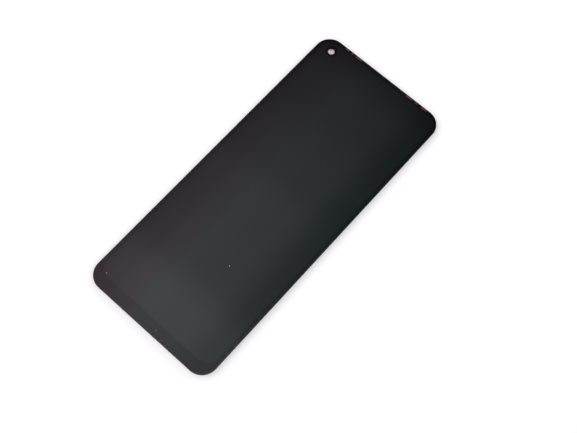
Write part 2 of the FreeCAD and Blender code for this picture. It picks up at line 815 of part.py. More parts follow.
def make_leds():
    """Side-emitting diodes, each a box with a shallow window in the face towards the light guide."""
    margin = size.led_window_margin
    for index in range(int(led_count.value)):
        name = f"led_{index + 1:02d}"
        case = doc.addObject("Part::Box", f"{name}_case")
        bind(case, "Length", size.led_length)
        bind(case, "Width", size.led_depth)
        bind(case, "Height", size.led_height)
        window = doc.addObject("Part::Box", f"{name}_window")
        bind(window, "Length", size.led_length - margin * 2)
        bind(window, "Width", size.led_window_depth)
        bind(window, "Height", size.led_height - margin * 2)
        bind(window, "Placement.Base.x", margin)
        bind(window, "Placement.Base.y", size.led_depth - size.led_window_depth)
        bind(window, "Placement.Base.z", margin)
        led = doc.addObject("Part::Cut", name)
        led.Base = case
        led.Tool = window
        led.Label = name
        bind(led, "Placement.Base.x", led_pitch * index - led_span / 2 - size.led_length / 2)
        bind(led, "Placement.Base.y", from_chin(led_back))
        bind(led, "Placement.Base.z", plate_floor + size.led_flex_thick)
    doc.recompute()


def make_main_flex():
    """Flex bonded on the glass ledge, folded round the chin and laid along the back plate."""
    body = new_body("main_flex")
    profile = new_sketch(body, "main_flex_fold", -flex_half, "YZ_Plane")
    fold_y = from_chin(size.ledge_chin - size.fold_clearance)
    middle = (array_high + flex_high) / 2
    inner = (array_high - flex_high) / 2
    outer = inner + size.flex_thick
    bond_end = from_chin(bond_chin)
    neck_end = from_chin(size.neck_chin)
    add_fold(profile, fold_y, middle, inner, outer, bond_end, neck_end)
    pad(body, profile, flex_half * 2)
    outline = new_sketch(body, "main_flex_outline", flex_low)
    board = board_half
    board_end = from_chin(size.board_chin)
    head_start = board_end + size.tail_length
    head_end = head_start + size.head_length
    tail_left, tail_right = tail_x - size.tail_width / 2, tail_x + size.tail_width / 2
    head_left, head_right = tail_x - head_half, tail_x + head_half
    add_polygon(outline, [
        (-board, neck_end), (board, neck_end), (board, board_end), (tail_right, board_end),
        (tail_right, head_start), (head_right, head_start), (head_right, head_end),
        (head_left, head_end), (head_left, head_start), (tail_left, head_start),
        (tail_left, board_end), (-board, board_end),
    ])
    last = pad(body, outline, size.flex_thick)
    round_edges(body, last, size.flex_corner, lambda edge: stands_between(edge, flex_low, flex_high))


def add_fold(sketch, fold_y, middle, inner, outer, bond_end, neck_end):
    """Adds a hairpin section: two level leaves joined by two concentric half circles."""
    centre = Vector(fold_y.value, middle.value, 0)
    arcs = []
    for radius in (outer, inner):
        circle = Part.Circle(centre, Vector(0, 0, 1), radius.value)
        arcs.append(sketch.addGeometry(Part.ArcOfCircle(circle, math.pi / 2, math.pi * 3 / 2), False))
    big, small = arcs
    x, top, low = fold_y.value, middle.value + outer.value, middle.value - outer.value
    upper_face, lower_face = middle.value + inner.value, middle.value - inner.value
    places = [
        ((bond_end.value, top), (x, top)), ((x, low), (neck_end.value, low)),
        ((neck_end.value, low), (neck_end.value, lower_face)), ((neck_end.value, lower_face), (x, lower_face)),
        ((x, upper_face), (bond_end.value, upper_face)), ((bond_end.value, upper_face), (bond_end.value, top)),
    ]
    lines = []
    for start, end in places:
        lines.append(sketch.addGeometry(Part.LineSegment(Vector(*start, 0), Vector(*end, 0)), False))
    upper, lower, lower_end, lower_back, upper_back, upper_end = lines
    for line, line_point, arc, arc_point in (
        (upper, 2, big, 1), (lower, 1, big, 2), (lower_back, 2, small, 2), (upper_back, 1, small, 1),
    ):
        sketch.addConstraint(Sketcher.Constraint("Tangent", line, line_point, arc, arc_point))
        sketch.addConstraint(Sketcher.Constraint("Horizontal", line))
    for first, second in ((lower, lower_end), (lower_end, lower_back), (upper_back, upper_end),
                          (upper_end, upper)):
        sketch.addConstraint(Sketcher.Constraint("Coincident", first, 2, second, 1))
    for line in (lower_end, upper_end):
        sketch.addConstraint(Sketcher.Constraint("Vertical", line))
    sketch.addConstraint(Sketcher.Constraint("Coincident", big, 3, small, 3))
    hold_x(sketch, big, 3, fold_y)
    hold_y(sketch, big, 3, middle)
    hold(sketch, "Radius", (big,), outer)
    hold(sketch, "Radius", (small,), inner)
    hold_x(sketch, upper, 1, bond_end)
    hold_x(sketch, lower, 2, neck_end)


def make_flex_backing():
    """Adhesive and stiffeners between the flex and the plate, and the tape over the fold."""
    margin = size.adhesive_margin
    low = from_chin(size.plate_chin + margin)
    high = from_chin(size.neck_chin - margin)
    body = new_body("flex_adhesive")
    sketch = new_sketch(body, "flex_adhesive_outline", flex_high)
    half = flex_half - margin
    add_rectangle(sketch, -half, half, low, high)
    pad(body, sketch, size.flex_adhesive_thick)
    inset = size.stiffener_margin
    board_middle = from_chin((size.neck_chin + size.board_chin) / 2)
    half_y = (size.board_chin - size.neck_chin) / 2 - inset
    half_x = board_half - inset
    block("board_stiffener", zero, board_middle, half_x, half_y, flex_high, size.stiffener_thick)
    block("stiffener_adhesive", zero, board_middle, half_x - margin / 2, half_y - margin / 2,
          flex_high + size.stiffener_thick, size.flex_adhesive_thick - size.stiffener_thick)
    block("connector_stiffener", tail_x, head_y, head_half - margin / 2,
          size.head_length / 2 - margin / 2, flex_high, size.flex_adhesive_thick)
    tape_length = size.neck_chin - size.tape_neck_gap - size.tape_chin
    tape_y = from_chin(size.tape_chin) + tape_length / 2
    block("fold_tape", zero, tape_y, flex_half - size.tape_side_margin, tape_length / 2,
          flex_low - size.tape_thick, size.tape_thick)


def make_connector():
    """Board connector: moulded housing with a channel and slots, two rows of contacts, two metal tabs."""
    half_x, half_y = size.connector_length / 2, size.connector_width / 2
    body = block("connector_housing", tail_x, head_y, half_x, half_y, zero, size.connector_height)
    channel = new_sketch(body, "connector_channel", size.connector_channel_depth)
    reach_x, reach_y = half_x - size.connector_end_wall, half_y - size.connector_side_wall
    add_rectangle(channel, tail_x - reach_x, tail_x + reach_x, head_y - reach_y, head_y + reach_y)
    pocket(body, channel, size.connector_channel_depth)
    row_span = size.contact_pitch * (size.contact_count - 1)
    first = tail_x - row_span / 2
    half = size.contact_width / 2
    inner = half_y - size.contact_depth
    slots = new_sketch(body, "connector_slots", size.connector_height)
    add_rectangle(slots, first - half, first + half, head_y + inner, head_y + half_y)
    add_rectangle(slots, first - half, first + half, head_y - half_y, head_y - inner)
    cut = pocket(body, slots, size.connector_height - size.contact_floor)
    repeat(body, cut, "X_Axis", row_span, size.contact_count)

    body = new_body("connector_contacts")
    profile = new_sketch(body, "contact_profile", first - half, "YZ_Plane")
    foot_low = flex_low - size.contact_thick
    for side in (1, -1):
        leg = head_y + inner * side
        leg_face = leg + size.contact_thick * side
        tip = head_y + (half_y + size.contact_foot) * side
        add_polygon(profile, [
            (leg, size.contact_floor), (leg_face, size.contact_floor), (leg_face, foot_low),
            (tip, foot_low), (tip, flex_low), (leg, flex_low),
        ])
    contact = pad(body, profile, size.contact_width)
    repeat(body, contact, "X_Axis", row_span, size.contact_count)

    body = new_body("connector_tabs")
    sketch = new_sketch(body, "connector_tabs_outline", flex_low - size.connector_tab_height)
    tab_half = size.connector_tab_width / 2
    end = half_x + size.connector_tab_length
    add_rectangle(sketch, tail_x + half_x, tail_x + end, head_y - tab_half, head_y + tab_half)
    add_rectangle(sketch, tail_x - end, tail_x - half_x, head_y - tab_half, head_y + tab_half)
    pad(body, sketch, size.connector_tab_height)


def make_components():
    """Capacitors, chips and inductor on the exposed face of the flex, and the tab's solder joints."""
    middle = from_chin((size.neck_chin + size.board_chin) / 2)
    body = new_body("capacitors")
    sketch = new_sketch(body, "capacitors_outline", flex_low - size.capacitor_height)
    span = size.capacitor_pitch * (size.capacitor_count - 1)
    first = -span / 2
    reach, half = size.capacitor_length / 2, size.capacitor_width / 2
    for row_y in (middle + size.part_row_gap * 2, middle - size.part_row_gap * 2):
        add_rectangle(sketch, first - half, first + half, row_y - reach, row_y + reach)
    placed = pad(body, sketch, size.capacitor_height)
    repeat(body, placed, "X_Axis", span, size.capacitor_count)
    side = size.bias_chip_side / 2
    block("bias_chip", size.bias_chip_offset - board_half, middle, side, side,
          flex_low - size.bias_chip_height, size.bias_chip_height)
    block("inductor", size.inductor_offset - board_half, middle, size.inductor_length / 2,
          size.inductor_width / 2, flex_low - size.inductor_height, size.inductor_height)
    block("memory_chip", board_half - size.memory_chip_offset, middle, size.memory_chip_length / 2,
          size.memory_chip_width / 2, flex_low - size.memory_chip_height, size.memory_chip_height)
    body = new_body("solder_joints")
    dots = new_sketch(body, "solder_joints_outline", tab_low - size.solder_height)
    foot_y = from_chin(size.tab_foot_start) + size.tab_foot_length / 2
    start = board_half - size.tab_overlap + size.solder_radius * 2
    add_circle(dots, start, foot_y, size.solder_radius)
    dot = pad(body, dots, size.solder_height)
    repeat(body, dot, "X_Axis", size.solder_pitch * (size.solder_count - 1), size.solder_count)


def write_parts():
    """Checks every object, then writes each labelled piece to its own file."""
    doc.recompute()
    for item in doc.Objects:
        if "Invalid" in item.State or "Error" in item.State:
            raise RuntimeError(f"{item.Name} failed: {item.State}")
    pieces = [item for item in doc.Objects if item.TypeId in ("PartDesign::Body", "Part::Cut")]
    for item in pieces:
        if item.Shape.isNull() or not item.Shape.isValid():
            raise RuntimeError(f"{item.Label} has no valid shape")
    os.makedirs("parts", exist_ok=True)
    for item in pieces:
        item.Shape.exportStep(os.path.join("parts", f"{item.Label}.step"))
        print(f"{item.Label}: {len(item.Shape.Solids)} solid, {item.Shape.Volume:.3f} mm3")


make_cover_glass()
make_border_ink()
make_ring("camera_ink_ring", ink_low, size.ink_thick, size.window_radius, ring_radius)
make_optical_adhesive()
make_cell()
make_driver_chip()
make_films()
make_back_plate()
make_backlight_frame()
make_camera_parts()
make_led_flex()
make_leds()
make_main_flex()
make_flex_backing()
make_connector()
make_components()
write_parts()
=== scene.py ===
# %% [markdown]
# # A phone's LCD screen assembly
# The object is the whole front of a phone as one module: a cover glass with a printed black border, the
# liquid crystal cell glued behind it, the backlight in its thin steel tray, and a flex that folds round the
# lower edge. It lies on its back, screen up, as in the photograph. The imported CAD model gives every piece
# its true size and place. This script only dresses it: finer surfaces where the eye needs them, finishes,
# light and a camera.
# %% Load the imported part
import json
import math

import bpy
import numpy as np
from mathutils import Matrix, Vector


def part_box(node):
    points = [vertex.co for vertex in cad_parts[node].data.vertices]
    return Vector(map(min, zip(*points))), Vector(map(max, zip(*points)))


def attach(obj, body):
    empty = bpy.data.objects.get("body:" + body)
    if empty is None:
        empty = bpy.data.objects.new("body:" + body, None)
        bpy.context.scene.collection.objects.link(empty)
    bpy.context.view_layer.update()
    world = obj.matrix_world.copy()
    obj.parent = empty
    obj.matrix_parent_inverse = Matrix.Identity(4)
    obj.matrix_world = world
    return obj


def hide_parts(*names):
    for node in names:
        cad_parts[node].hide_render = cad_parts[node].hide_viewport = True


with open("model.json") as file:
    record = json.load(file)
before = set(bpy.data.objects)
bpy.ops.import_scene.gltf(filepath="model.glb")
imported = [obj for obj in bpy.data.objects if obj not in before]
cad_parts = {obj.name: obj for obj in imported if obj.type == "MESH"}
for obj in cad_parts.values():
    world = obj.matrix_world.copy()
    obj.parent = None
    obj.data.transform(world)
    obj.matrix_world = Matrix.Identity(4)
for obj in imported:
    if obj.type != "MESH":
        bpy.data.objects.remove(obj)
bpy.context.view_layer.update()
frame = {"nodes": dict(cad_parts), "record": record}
MM = 0.001
nodes = frame["nodes"]

# %% [markdown]
# ## The camera
# A rectangle seen in perspective fixes the camera that saw it. The four corners of the glass, its real
# width and length, and a picture centre without shift leave one lens and one place, about 0.43 m away
# and 20 degrees from straight above. The camera is rolled, so the screen lies at a slant in the picture.
# %% Camera
CAMERA_AT = Vector((106.743, -115.096, 412.626)) * MM
CAMERA_AIM = Vector((12.243, -1.428, 3.15)) * MM
CAMERA_UP = Vector((-0.62778, 0.70052, 0.33934))
LENS_MM = 62.674
SENSOR_MM = 36.0

camera_data = bpy.data.cameras.new("camera")
camera_data.lens = LENS_MM
camera_data.sensor_width = SENSOR_MM
camera_data.clip_start = 0.01
camera_data.clip_end = 50.0
camera = bpy.data.objects.new("camera", camera_data)
bpy.context.scene.collection.objects.link(camera)
back = (CAMERA_AT - CAMERA_AIM).normalized()
right = CAMERA_UP.cross(back).normalized()
turn = Matrix((right, back.cross(right), back)).transposed()
camera.matrix_world = Matrix.Translation(CAMERA_AT) @ turn.to_4x4()
bpy.context.scene.camera = camera
print("camera", round((CAMERA_AT - CAMERA_AIM).length, 3), "m from what it looks at")

# %% [markdown]
# ## Writing shader maths
# A material is a small program of nodes. Wires written out by hand hide the formula, so a Wire wraps one
# socket and answers + - * / and ** with Math nodes, and a Finish adds every other node through one method.
# %% Wires and finishes
class Wire:
    """One output of a node tree. Arithmetic on it, with wires or numbers, adds Math nodes."""

    def __init__(self, finish, socket):
        self.finish = finish
        self.socket = socket

    def math(self, operation, *parts):
        return self.finish.node("ShaderNodeMath", {"operation": operation}, dict(enumerate(parts)))

    def __add__(self, other):
        return self.math("ADD", self, other)

    def __sub__(self, other):
        return self.math("SUBTRACT", self, other)

    def __rsub__(self, other):
        return self.math("SUBTRACT", other, self)

    def __mul__(self, other):
        return self.math("MULTIPLY", self, other)

    def __truediv__(self, other):
        return self.math("DIVIDE", self, other)

    def __rtruediv__(self, other):
        return self.math("DIVIDE", other, self)

    def __pow__(self, other):
        return self.math("POWER", self, other)

    def __rpow__(self, other):
        return self.math("POWER", other, self)

    __radd__ = __add__
    __rmul__ = __mul__

    def absolute(self):
        return self.math("ABSOLUTE", self)

    def least(self, other):
        return self.math("MINIMUM", self, other)

    def most(self, other):
        return self.math("MAXIMUM", self, other)

    def root(self):
        return self.math("SQRT", self)

    def wave(self, period):
        """A wave from 0 to 1 and back over each period."""
        return self.math("SINE", self * (2 * math.pi / period)) * 0.5 + 0.5

    def spaced(self, pitch, start=0.0):
        """Signed distance to the nearest of marks that follow each other at a pitch from start."""
        turns = self.math("FRACT", (self - start) / pitch + 0.5)
        return (turns - 0.5) * pitch

    def rise(self, start, end):
        """0 up to start, 1 from end on, and a smooth step between them."""
        values = {"Value": self, "From Min": start, "From Max": end}
        return self.finish.node("ShaderNodeMapRange", {"interpolation_type": "SMOOTHSTEP"}, values)

    def between(self, low, high, soft):
        """1 between low and high, 0 outside, with soft edges."""
        return self.rise(low - soft, low + soft) * (1 - self.rise(high - soft, high + soft))


class Finish:
    """One material: a Principled shader and what feeds it."""

    def __init__(self, name, **shader):
        """Makes the material. Each keyword names a socket, so base_color fills Base Color."""
        self.material = bpy.data.materials.new(name)
        self.material.use_nodes = True
        self.tree = self.material.node_tree
        self.shader = self.tree.nodes["Principled BSDF"]
        for socket, value in shader.items():
            self.feed(socket.replace("_", " ").title().replace("Ior", "IOR"), value)

    def node(self, kind, settings=None, values=None, out=0):
        """Adds a node, sets it up, then fills or links its sockets, and returns one output as a Wire."""
        made = self.tree.nodes.new(kind)
        for name, value in (settings or {}).items():
            if name == "stops":
                set_stops(made.color_ramp, value)
                made.color_ramp.interpolation = "EASE"
            else:
                setattr(made, name, value)
        for name, value in (values or {}).items():
            self.fill(made.inputs[name], value)
        return Wire(self, made.outputs[out])

    def fill(self, socket, value):
        """Links a wire to a socket, or gives the socket a number or a colour."""
        if isinstance(value, Wire):
            self.tree.links.new(value.socket, socket)
        elif isinstance(value, tuple) and len(value) == 3 and socket.type == "RGBA":
            socket.default_value = (*value, 1.0)
        else:
            socket.default_value = value

    def feed(self, name, value):
        """Fills a socket of the Principled shader and returns the finish."""
        self.fill(self.shader.inputs[name], value)
        return self

    def places(self):
        """X, Y and Z of the surface in millimetres, from its own object coordinates."""
        where = self.node("ShaderNodeTexCoord", out="Object")
        scaled = self.node("ShaderNodeVectorMath", {"operation": "SCALE"}, {0: where, "Scale": 1 / MM})
        return [self.node("ShaderNodeSeparateXYZ", None, {0: scaled}, axis) for axis in "XYZ"]

    def spread(self, size, stretch):
        """Object coordinates in units of size millimetres, denser along an axis whose stretch is above 1."""
        where = self.node("ShaderNodeTexCoord", out="Object")
        scale = tuple(s / (size * MM) for s in stretch)
        return self.node("ShaderNodeMapping", None, {"Vector": where, "Scale": scale})

    def noise(self, size, detail=3.0, stretch=(1.0, 1.0, 1.0)):
        """Soft random values from 0 to 1 whose blotches measure about size millimetres."""
        values = {"Vector": self.spread(size, stretch), "Scale": 1.0, "Detail": detail}
        return self.node("ShaderNodeTexNoise", None, values, "Fac")

    def cells(self, size):
        """Distance to the nearest of scattered points about size millimetres apart."""
        values = {"Vector": self.spread(size, (1.0, 1.0, 1.0)), "Scale": 1.0}
        return self.node("ShaderNodeTexVoronoi", None, values, "Distance")

    def mix(self, share, first, second):
        """A colour between two colours."""
        values = {0: share, 6: first, 7: second}
        return self.node("ShaderNodeMix", {"data_type": "RGBA"}, values, 2)

    def surface(self, share, first, second):
        """Gives the material's surface a mix of two shaders."""
        mixed = self.node("ShaderNodeMixShader", None, {0: share, 1: first, 2: second})
        self.tree.links.new(mixed.socket, self.tree.nodes["Material Output"].inputs["Surface"])

    def bump(self, height, depth):
        """Tilts the normals as a relief of this depth, in millimetres, would."""
        values = {"Height": height, "Distance": depth * MM, "Strength": 1.0}
        return self.feed("Normal", self.node("ShaderNodeBump", None, values))


def set_stops(ramp, stops):
    """Gives a colour ramp its stops, each a position and a colour."""
    while len(ramp.elements) < len(stops):
        ramp.elements.new(0.5)
    for element, (position, colour) in zip(ramp.elements, stops):
        element.position = position
        element.color = (*colour, 1.0)


# %% [markdown]
# ## Surfaces as grids
# Every new piece is a surface given by two parameters: rows are outlines at successive stations of a
# profile, columns run round the outline. One function turns such a grid of points into a closed mesh.
# %% From a grid of points to a mesh
def closed_mesh(name, grid):
    """Makes a mesh from grid[row, column] = point. Columns close round, and the first and last row end in
    flat caps. Faces are turned outwards: if the enclosed volume, the sum of a.(b x c)/6 over the
    triangles, comes out negative, each face is reversed."""
    rows, columns = grid.shape[:2]
    index = np.arange(rows * columns).reshape(rows, columns)
    after = np.roll(index, -1, axis=1)
    quads = np.stack([index[:-1], after[:-1], after[1:], index[1:]], axis=-1)
    faces = quads.reshape(-1, 4).tolist() + [index[0][::-1].tolist(), index[-1].tolist()]
    points = grid.reshape(-1, 3)
    if signed_volume(points, faces) < 0:
        faces = [face[::-1] for face in faces]
    mesh = bpy.data.meshes.new(name)
    mesh.from_pydata(points.tolist(), [], faces)
    mesh.update()
    return mesh


def signed_volume(points, faces):
    """The sum over fans of triangles of a.(b x c)/6, positive where faces look outwards."""
    total = 0.0
    for size in {len(face) for face in faces}:
        group = points[np.array([face for face in faces if len(face) == size])]
        first, second, third = group[:, :1], group[:, 1:-1], group[:, 2:]
        total += (first * np.cross(second, third)).sum() / 6
    return total


def add_piece(name, meshes, finish, replaced=(), smooth=30.0):
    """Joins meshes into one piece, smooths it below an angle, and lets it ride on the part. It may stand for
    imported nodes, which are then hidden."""
    mesh = meshes[0] if len(meshes) == 1 else joined(name, meshes)
    mesh.name = name
    mesh.shade_smooth()
    mesh.set_sharp_from_angle(angle=math.radians(smooth))
    mesh.materials.append(finish.material)
    piece = bpy.data.objects.new(name, mesh)
    bpy.context.scene.collection.objects.link(piece)
    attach(piece, "root")
    if replaced:
        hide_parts(*replaced)
    print(name, len(mesh.polygons), "faces")
    return piece


def joined(name, meshes):
    """One mesh with the points and faces of several."""
    points, faces, count = [], [], 0
    for mesh in meshes:
        places = np.empty(len(mesh.vertices) * 3)
        mesh.vertices.foreach_get("co", places)
        points.append(places.reshape(-1, 3))
        faces += [[v + count for v in polygon.vertices] for polygon in mesh.polygons]
        count += len(mesh.vertices)
        bpy.data.meshes.remove(mesh)
    whole = bpy.data.meshes.new(name)
    whole.from_pydata(np.concatenate(points).tolist(), [], faces)
    whole.update()
    return whole


# %% [markdown]
# ## Outlines
# The glass and the adhesive behind it are rectangles with rounded corners. An inset outline has a corner
# radius that is smaller by its side inset, so the border is as wide round a corner as along the side. Only
# the chin, where the inset is deeper, differs.
# %% Rounded outlines
def box_mm(node):
    """The low and the high corner of a node's box, in millimetres."""
    return tuple(np.array(corner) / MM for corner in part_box(node))


glass_low, glass_high = box_mm("cover_glass")
GLASS_WIDTH, GLASS_LENGTH = glass_high[:2] - glass_low[:2]
CORNER_RADIUS = 7.7
ARC_STEPS = 24
print("glass mm", round(GLASS_WIDTH, 2), "by", round(GLASS_LENGTH, 2))


def rounded(low, high, radius, steps=4):
    """Points round a rectangle from corner low to corner high. On each corner arc the point is
    centre + radius (cos a, sin a)."""
    (x0, y0), (x1, y1) = np.array(low) + radius, np.array(high) - radius
    centres = np.array([(x1, y1), (x0, y1), (x0, y0), (x1, y0)])
    angle = np.linspace(0, math.pi / 2, steps + 1)[None, :] + np.arange(4)[:, None] * math.pi / 2
    arcs = centres[:, None, :] + radius * np.stack([np.cos(angle), np.sin(angle)], axis=-1)
    return arcs.reshape(-1, 2)


def outline(side, top=None, chin=None):
    """Points round a rectangle inset from the glass edges, with the corner radius less the side inset."""
    top = side if top is None else top
    chin = side if chin is None else chin
    low = (side - GLASS_WIDTH / 2, chin - GLASS_LENGTH / 2)
    high = (GLASS_WIDTH / 2 - side, GLASS_LENGTH / 2 - top)
    return rounded(low, high, CORNER_RADIUS - side, ARC_STEPS)


def at_height(points, height):
    """A flat outline lifted to a height. It takes millimetres and gives metres."""
    return np.column_stack([points, np.full(len(points), height)]) * MM


def plate(name, low, high, side, top=None, chin=None):
    """A flat sheet between two heights."""
    edge = outline(side, top, chin)
    return closed_mesh(name, np.stack([at_height(edge, low), at_height(edge, high)]))


# %% [markdown]
# ## The cover glass
# The glass is 0.65 mm thick, its front edge is ground to a quarter round and its rear edge has a small
# bevel. The faceted CAD fillet would break up reflections, so this piece sweeps the same profile round the
# outline in fine steps. One more row just inside the round keeps the flat front truly flat under smooth
# shading. It ends a few micrometres above the ink, because surfaces in exactly one plane would fight.
# %% Cover glass
AIR_GAP = 0.004
EDGE_ROUND = 0.45
EDGE_BEVEL = 0.12
ROUND_STEPS = 10
REAR_ROW, FRONT_ROW = 0.3, 0.15


def glass_rows():
    """Rows of the profile, as inset and height: bevel, side wall, then inset = R(1 - cos t) and
    height = top - R(1 - sin t) over the quarter round, and the flat."""
    low, high = glass_low[2] + AIR_GAP, glass_high[2]
    turn_by = np.linspace(0, math.pi / 2, ROUND_STEPS + 1)
    rows = [(EDGE_BEVEL + REAR_ROW, low), (EDGE_BEVEL, low), (0.0, low + EDGE_BEVEL)]
    rows += list(zip(EDGE_ROUND * (1 - np.cos(turn_by)), high - EDGE_ROUND * (1 - np.sin(turn_by))))
    return rows + [(EDGE_ROUND + FRONT_ROW, high)]


glass_grid = np.stack([at_height(outline(inset), height) for inset, height in glass_rows()])
glass_mesh = closed_mesh("cover_glass_sheet", glass_grid)

# %% [markdown]
# ## What shows through the glass
# Over the picture and most of the border the sheet is glued to black, so the two act as one black mirror,
# and the sheet is given that finish there. Its rim, the disc over the camera and the slits are true glass,
# with the print in view 0.65 mm down. One formula tells how far a place lies inside the rounded outline, so
# every edge of the print follows the glass. The sheet is clear a little beyond each slit, because the print
# is seen at a slant. A thin coat over the picture alone makes it a shade brighter than the border. The rim's
# glass carries a dark, reddish tint that deepens towards the edge: painted shade along the rim.
# %% Places in the print
PICTURE_SIDE, PICTURE_CHIN = 2.2, 5.8
PRINT_SOFT = 0.08
BOND_EDGE, BOND_SOFT = 1.3, 0.05
window_x, window_y = (sum(box_mm("camera_sleeve")) / 2)[:2]
WINDOW_RADIUS, RING_RADIUS = 1.5, 2.75
WINDOW_EDGE = (WINDOW_RADIUS + 0.02, WINDOW_RADIUS + 0.10)
SLIT_INSET, SLIT_WIDTH, SLIT_SOFT = 0.78, 0.45, 0.03
SLIT_VIEW_BELOW, SLIT_VIEW_ABOVE = 0.35, 0.30
LEFT_SLITS = [(11.2, 2.25), (14.9, 1.2), (17.4, 3.7)]
RIGHT_SLITS = [(9.4, 2.9), (14.5, 1.4), (17.5, 3.6)]
SLITS = [(start - GLASS_WIDTH / 2, start + length - GLASS_WIDTH / 2) for start, length in LEFT_SLITS]
SLITS += [(GLASS_WIDTH / 2 - start - length, GLASS_WIDTH / 2 - start) for start, length in RIGHT_SLITS]
slit_y = GLASS_LENGTH / 2 - SLIT_INSET
print("slits", len(SLITS), "window at", round(window_x, 2), round(window_y, 2))


def inset_within(finish, side=0.0, top=0.0, chin=0.0):
    """How far a place is inside a rounded rectangle that is itself inset from the glass. With q the
    distance past the corner centres, it is radius - |max(q, 0)| - min(max(qx, qy), 0)."""
    x, y, _ = finish.places()
    radius = CORNER_RADIUS - side
    across = x.absolute() - (GLASS_WIDTH / 2 - side - radius)
    along = (y - (chin - top) / 2).absolute() - ((GLASS_LENGTH - top - chin) / 2 - radius)
    corner = (across.most(0) ** 2 + along.most(0) ** 2).root()
    return radius - corner - across.most(along).least(0)


# %% Cover glass finish
GLASS_IOR = 1.5
PICTURE_COAT = 0.18
RIM_SHADE_DEPTH = 0.3
cover = Finish("polished_cover_glass", ior=GLASS_IOR, roughness=0.0)
x, y, _ = cover.places()
from_window = ((x - window_x) ** 2 + (y - window_y) ** 2).root()
picture = inset_within(cover, PICTURE_SIDE, PICTURE_SIDE, PICTURE_CHIN).rise(-PRINT_SOFT, PRINT_SOFT)
cloud = cover.noise(30.0, 2.0)
film_colour = cover.mix(cloud, (0.0030, 0.0040, 0.0044), (0.0042, 0.0052, 0.0056))
cover.feed("Base Color", cover.mix(picture, (0.0030, 0.0028, 0.0030), film_colour))
cover.feed("Coat Weight", picture * PICTURE_COAT)
inset = inset_within(cover)
in_slit = sum(x.between(first, last, SLIT_SOFT) for first, last in SLITS)
slit_row = y.between(slit_y - SLIT_VIEW_BELOW, slit_y + SLIT_VIEW_ABOVE, SLIT_SOFT)
clear = (in_slit * slit_row).most(1 - from_window.rise(*WINDOW_EDGE))
# Painted shade: the rim's glass is tinted dark and reddish at the edge, and a paler grey 0.3 mm in.
rim_painted_shade = cover.mix(inset.rise(0.0, RIM_SHADE_DEPTH), (0.05, 0.034, 0.036), (0.10, 0.09, 0.09))
glass_values = {"Transmission Weight": 1.0, "IOR": GLASS_IOR, "Roughness": 0.0,
                "Base Color": cover.mix(clear, rim_painted_shade, (0.97, 0.98, 0.98))}
glass = cover.node("ShaderNodeBsdfPrincipled", None, glass_values)
over_print = inset.rise(BOND_EDGE - BOND_SOFT, BOND_EDGE + BOND_SOFT)
bonded = over_print * from_window.rise(RING_RADIUS - BOND_SOFT, RING_RADIUS + BOND_SOFT)
cover.surface(bonded, glass, Wire(cover, cover.shader.outputs[0]))
add_piece("cover_glass_sheet", [glass_mesh], cover, ["cover_glass"], smooth=35)

# %% [markdown]
# ## Clear layers
# The optical adhesive matches the glass, so light passes it without a mirror image. It is almost fully
# transparent here, and so is the liquid crystal, which leaves the glass sheets alone to bend the light.
# %% Optical adhesive
adhesive = Finish("optical_adhesive_clear", alpha=0.03, roughness=0.6, specular_ior_level=0.0,
                  base_color=(0.03, 0.022, 0.024))
CELL_SIDE, FILTER_CHIN = 1.1, 4.75
adhesive_low, adhesive_high = (corner[2] for corner in box_mm("optical_adhesive"))
INK_THICK, HAIR_GAP = 0.02, 0.001
sheet = plate("adhesive_sheet", adhesive_low + AIR_GAP, adhesive_high - INK_THICK - HAIR_GAP,
              CELL_SIDE, CELL_SIDE, FILTER_CHIN)
add_piece("adhesive_sheet", [sheet], adhesive, ["optical_adhesive"])

# %% [markdown]
# ## Finishes of the layers
# Each named material slot of the part gets its own finish. Numbers in these finishes are colours and
# roughnesses of the real stuff, and a little unevenness at its real scale.
# %% Dark layers
def black_print():
    """Border ink: nearly no mirror image of its own, and a grain finer than a millimetre."""
    ink = Finish("printed_border_ink", roughness=0.35, specular_ior_level=0.05)
    grain = ink.noise(0.35, 4.0)
    ink.feed("Base Color", ink.mix(grain, (0.0035, 0.0034, 0.0038), (0.006, 0.0058, 0.0062)))
    return ink


def polariser():
    """Dark film with a slow cloud of a slightly different black."""
    film = Finish("dark_polariser", roughness=0.15, specular_ior_level=0.3)
    cloud = film.noise(30.0, 2.0)
    film.feed("Base Color", film.mix(cloud, (0.0030, 0.0040, 0.0042), (0.0044, 0.0056, 0.0056)))
    return film


def black_tape():
    """Tape whose carrier shows as a soft relief and uneven roughness."""
    tape = Finish("black_tape")
    weave = tape.noise(0.5, 4.0)
    tape.feed("Base Color", tape.mix(weave, (0.012, 0.012, 0.013), (0.026, 0.026, 0.027)))
    tape.feed("Roughness", weave * 0.2 + 0.4)
    return tape.bump(weave, 0.01)


def black_moulding():
    """Frame plastic with the fine spark-eroded grain of its mould."""
    plastic = Finish("black_moulded_frame", specular_ior_level=0.5)
    spark = plastic.noise(0.12, 3.0)
    plastic.feed("Base Color", plastic.mix(spark, (0.014, 0.014, 0.015), (0.024, 0.024, 0.026)))
    plastic.feed("Roughness", spark * 0.2 + 0.42)
    return plastic.bump(spark, 0.006)


def black_foam():
    """Foam: rough, with pores a sixth of a millimetre apart."""
    foam = Finish("black_foam", roughness=0.95, specular_ior_level=0.2)
    pores = foam.cells(0.16)
    foam.feed("Base Color", foam.mix(pores, (0.010, 0.010, 0.011), (0.040, 0.040, 0.041)))
    return foam.bump(pores, 0.05)


# %% [markdown]
# ## Metals
# The back plate and the stiffeners are rolled sheet. Rolling leaves lines along the strip, so their noise is
# stretched fifty times in one direction. Solder and gold plating have no direction, only grain and wear.
# %% Metals
ALONG_Y, ALONG_X = (1.0, 0.02, 1.0), (0.02, 1.0, 1.0)


